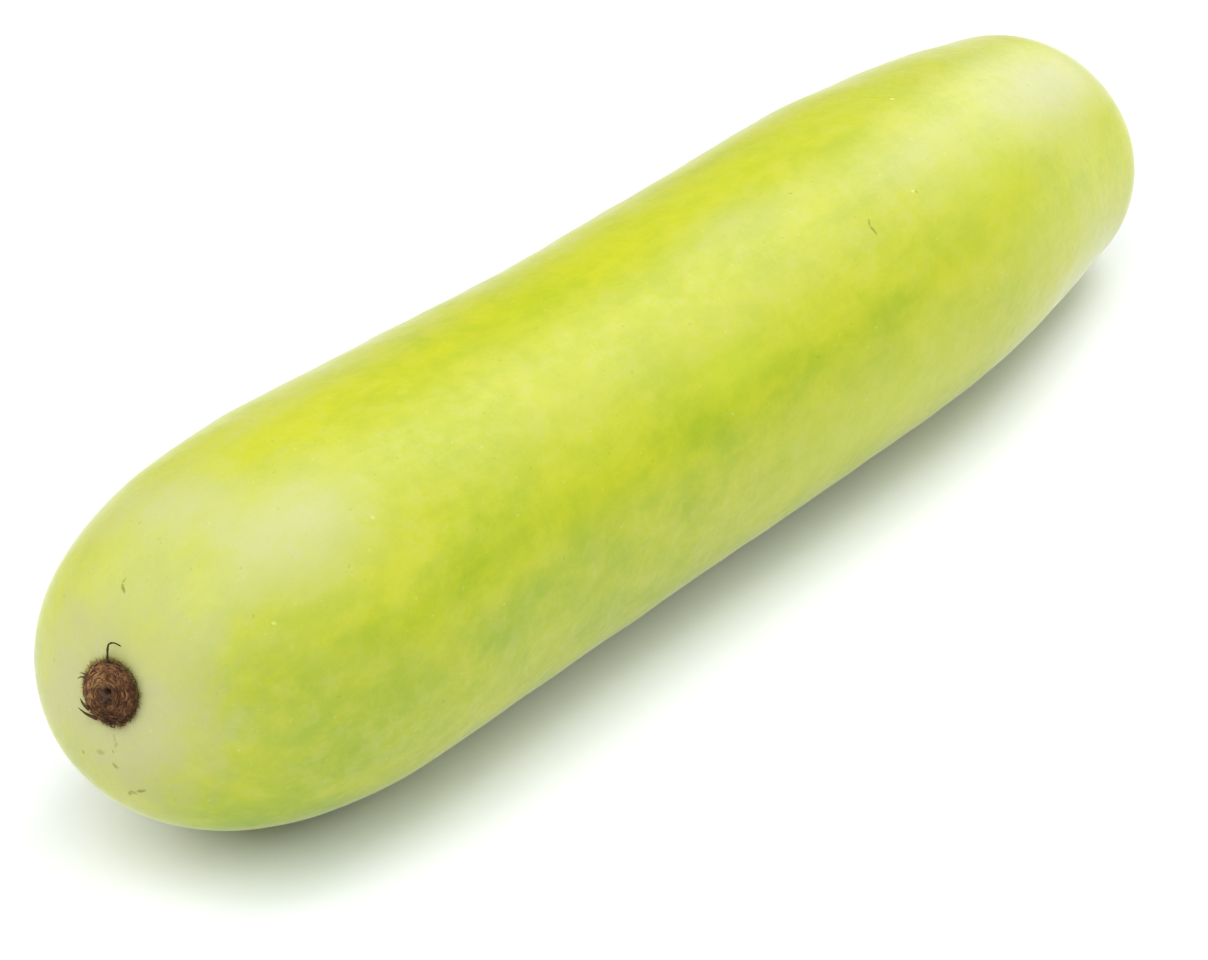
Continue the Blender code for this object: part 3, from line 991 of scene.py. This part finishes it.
def fibre_material():
    """Brown to straw fibres, and a fringe from brown to olive."""
    n = Nodes("dry_fibres")
    fine = n.noise(n.object_place(), 0.00050, detail=3.0, roughness=0.6)
    shade = n.attribute("shade")
    dry = n.mix(n.math("MAXIMUM", shade, 0.0), FIBRE_BROWN, FIBRE_STRAW)
    olive = n.math("MULTIPLY", shade, -1.0, clamp=True)
    fringe = n.mix(olive, FRINGE_BROWN, FRINGE_OLIVE)
    colour = n.mix(n.math("LESS_THAN", shade, 0.0), dry, fringe)
    colour = n.mix(n.between(fine, 0.38, 0.68, 0.0, 0.6), colour, FIBRE_DARK)
    n.finish(colour, n.between(fine, 0.3, 0.7, 0.6, 0.9), fine, 0.00004, 0.5)
    n.surface_inputs({"Specular IOR Level": 0.12})
    return n.material


def thread_material():
    """Dark olive-brown dry thread."""
    n = Nodes("dry_thread")
    fine = n.noise(n.object_place(), 0.00060, detail=4.0, roughness=0.6)
    colour = n.mix(n.between(fine, 0.35, 0.65), THREAD_DARK, THREAD_BROWN)
    n.finish(colour, n.between(fine, 0.3, 0.7, 0.55, 0.8), fine, 0.00004, 0.6)
    n.surface_inputs({"Specular IOR Level": 0.25})
    return n.material


def mark_button(mesh):
    """Store where the button is tan, greyish in its middle, and dark."""
    places = np.empty(len(mesh.vertices) * 3, dtype=np.float32)
    mesh.vertices.foreach_get("co", places)
    x, y = places.reshape(-1, 3)[:, 0], places.reshape(-1, 3)[:, 1]

    def strongest(spots):
        total = np.zeros_like(x)
        for at_x, at_y, radius, power, strength in spots:
            away = np.hypot(x - at_x, y - at_y) / radius
            total = np.maximum(total, strength * np.exp(-away ** power))
        return total

    write_values(mesh, "tan", strongest(TAN_SPOTS))
    write_values(mesh, "middle", strongest(MIDDLE_SPOTS))
    rim_from, rim_grow, rim_strength = DARK_RIM
    reach = np.hypot(x, y) / SCAR_RADIUS
    rim = rim_strength * np.clip((reach - rim_from) / rim_grow, 0.0, 1.0)
    write_values(mesh, "dark", np.maximum(strongest(DARK_SPOTS), rim))


# ---- Cut stalk ----
def make_stalk():
    """The cut stalk: five ribs, a corky flare where it meets the fruit, a dished cut face."""
    along = np.linspace(0.0, 1.0, STALK_ROWS)
    radii = smooth_through([radius for radius, _ in STALK_OUTLINE], along)
    heights = smooth_through([height for _, height in STALK_OUTLINE], along)
    points = []
    for radius, height in zip(radii, heights):
        radius = max(radius, 0.0)
        for column in range(STALK_COLUMNS):
            angle = column / STALK_COLUMNS * math.tau
            way = Vector((math.cos(angle), math.sin(angle), 0.0))
            rib = math.cos(STALK_RIBS * angle + 0.4)
            rib += STALK_SMALL_RIB * math.cos(2 * STALK_RIBS * angle + 1.1)
            ribbed = STALK_RIB_DEPTH * rib * min(radius / STALK_RIB_RADIUS, 1.0)
            lump = noise.noise(way * 2.3 + Vector((0, 0, height * 300)))
            out = radius * (1.0 + ribbed + STALK_LUMP * lump)
            spot = Vector((way.x * radius, way.y * radius, height))
            crumb = STALK_CRUMB * noise.noise(spot * STALK_CRUMB_RATE)
            points.append((way.x * out, way.y * out, height + crumb))
    faces = closed_grid(STALK_ROWS, STALK_COLUMNS)
    faces.append(tuple(range(STALK_COLUMNS))[::-1])
    mesh = mesh_from("stalk", points, faces)
    merge_middle(mesh)
    return mesh


def stalk_material():
    """Green-tan ribbed stalk with corky freckles, and a dry brown cut face with a fibre ring."""
    n = Nodes("cut_stalk")
    place = n.object_place()
    height = n.axes(place)[2]
    radius = n.length(n.stretched(place, (1.0, 1.0, 0.0)))
    long_grain = n.noise(n.stretched(place, (1.0, 1.0, 0.15)), 0.0007, detail=4.0, roughness=0.6)
    coarse = n.noise(place, 0.0024, detail=4.0, roughness=0.6)
    fine = n.noise(place, 0.0005, detail=3.0, roughness=0.6)
    cork = n.math("ADD", height, n.between(coarse, 0.2, 0.8, -0.0008, 0.0008))
    side = n.layered(STALK_GREEN, (
        (n.between(long_grain, 0.35, 0.68), STALK_PALE),
        (n.between(coarse, 0.52, 0.72, 0.0, 0.75), STALK_FRECKLE),
        (n.between(cork, 0.0018, 0.0004, 0.0, 0.85), STALK_CORK),
    ))
    ring = n.math("ABSOLUTE", n.math("SUBTRACT", radius, CUT_RING_RADIUS))
    face = n.layered(CUT_PALE, (
        (n.between(coarse, 0.35, 0.65), CUT_BROWN),
        (n.between(ring, *CUT_RING_EDGE, 0.0, 0.7), CUT_RING),
        (n.between(fine, 0.55, 0.68, 0.0, 0.6), CUT_CRACK),
    ))
    # The cut face is what lies nearer the axis than the sides do, and its rim at the top.
    at_top = n.between(height, 0.0080, 0.0086)
    on_rim = n.math("MULTIPLY", at_top, n.between(radius, 0.0052, 0.0046))
    colour = n.mix(n.math("MAXIMUM", on_rim, n.between(radius, 0.0044, 0.0040)), side, face)
    relief = n.math("ADD", long_grain, n.math("MULTIPLY", fine, 0.6))
    n.finish(colour, n.between(fine, 0.3, 0.7, 0.60, 0.85), relief, 0.00015, 0.7)
    return n.material


# ---- Stage ----
def make_floor():
    """Wide white sheet for the gourd to lie on."""
    half = FLOOR_HALF_WIDTH
    corners = [(-half, -half, 0.0), (half, -half, 0.0), (half, half, 0.0), (-half, half, 0.0)]
    mesh = mesh_from("floor", corners, [(0, 1, 2, 3)])
    floor = bpy.data.objects.new("floor", mesh)
    floor.location.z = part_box("fruit")[0][2] - FLOOR_DROP
    bpy.context.scene.collection.objects.link(floor)
    n = Nodes("white_sheet")
    tone = n.mix(n.noise(n.object_place(), FLOOR_TONE_SIZE, detail=2.0), *FLOOR_TONES)
    n.surface_inputs({"Base Color": tone, "Roughness": 0.9, "Specular IOR Level": 0.2})
    mesh.materials.append(n.material)


def make_light():
    """Large softboxes in front, overhead and behind, weaker ones at the sides, and a pale sky."""
    world = bpy.data.worlds.new("studio")
    bpy.context.scene.world = world
    world.use_nodes = True
    background = world.node_tree.nodes["Background"]
    background.inputs["Color"].default_value = (1.0, 1.0, 1.0, 1.0)
    background.inputs["Strength"].default_value = SKY_STRENGTH
    for name, (direction, size, radiance) in SOFTBOXES.items():
        light = bpy.data.lights.new(name, "AREA")
        light.shape = "RECTANGLE"
        light.size, light.size_y = size
        light.energy = radiance * math.pi * size[0] * size[1]
        box = bpy.data.objects.new(name, light)
        bpy.context.scene.collection.objects.link(box)
        towards = Vector(direction).normalized()
        box.location = LIGHT_AIM + towards * SOFTBOX_DISTANCE
        box.rotation_euler = towards.to_track_quat("Z", "Y").to_euler()


def make_camera():
    """Camera from the photograph's side, level, with its long lens."""
    back = Vector((
        math.sin(CAMERA_AZIMUTH) * math.cos(CAMERA_ELEVATION),
        -math.cos(CAMERA_AZIMUTH) * math.cos(CAMERA_ELEVATION),
        math.sin(CAMERA_ELEVATION),
    ))
    data = bpy.data.cameras.new("camera")
    data.lens = CAMERA_LENS
    data.sensor_width = CAMERA_SENSOR
    data.clip_start = 0.01
    data.clip_end = 50.0
    camera = bpy.data.objects.new("camera", data)
    bpy.context.scene.collection.objects.link(camera)
    camera.location = CAMERA_AIM + back * CAMERA_DISTANCE
    camera.rotation_euler = back.to_track_quat("Z", "Y").to_euler()
    bpy.context.scene.camera = camera
    bpy.context.scene.view_settings.view_transform = "Standard"


def main():
    """Make every piece, the stage and the camera."""
    skin, shift = make_skin()
    add_piece("gourd_skin", skin, skin_material(shift), "fruit")
    blossom_end = end_matrix(0, math.atan(TIP_SLOPE), shift)
    button = make_button()
    mark_button(button)
    add_piece("scar_button", button, scar_material(), "blossom_scar", blossom_end)
    fibres = make_fibres()
    add_piece("scar_fibres", fibres, fibre_material(), "blossom_scar", blossom_end)
    thread = make_thread()
    add_piece("scar_thread", thread, thread_material(), "dry_filament", blossom_end)
    stem_end = end_matrix(1, 0.0, shift)
    add_piece("cut_stalk", make_stalk(), stalk_material(), "stem_stub", stem_end)
    make_floor()
    make_light()
    make_camera()


main()
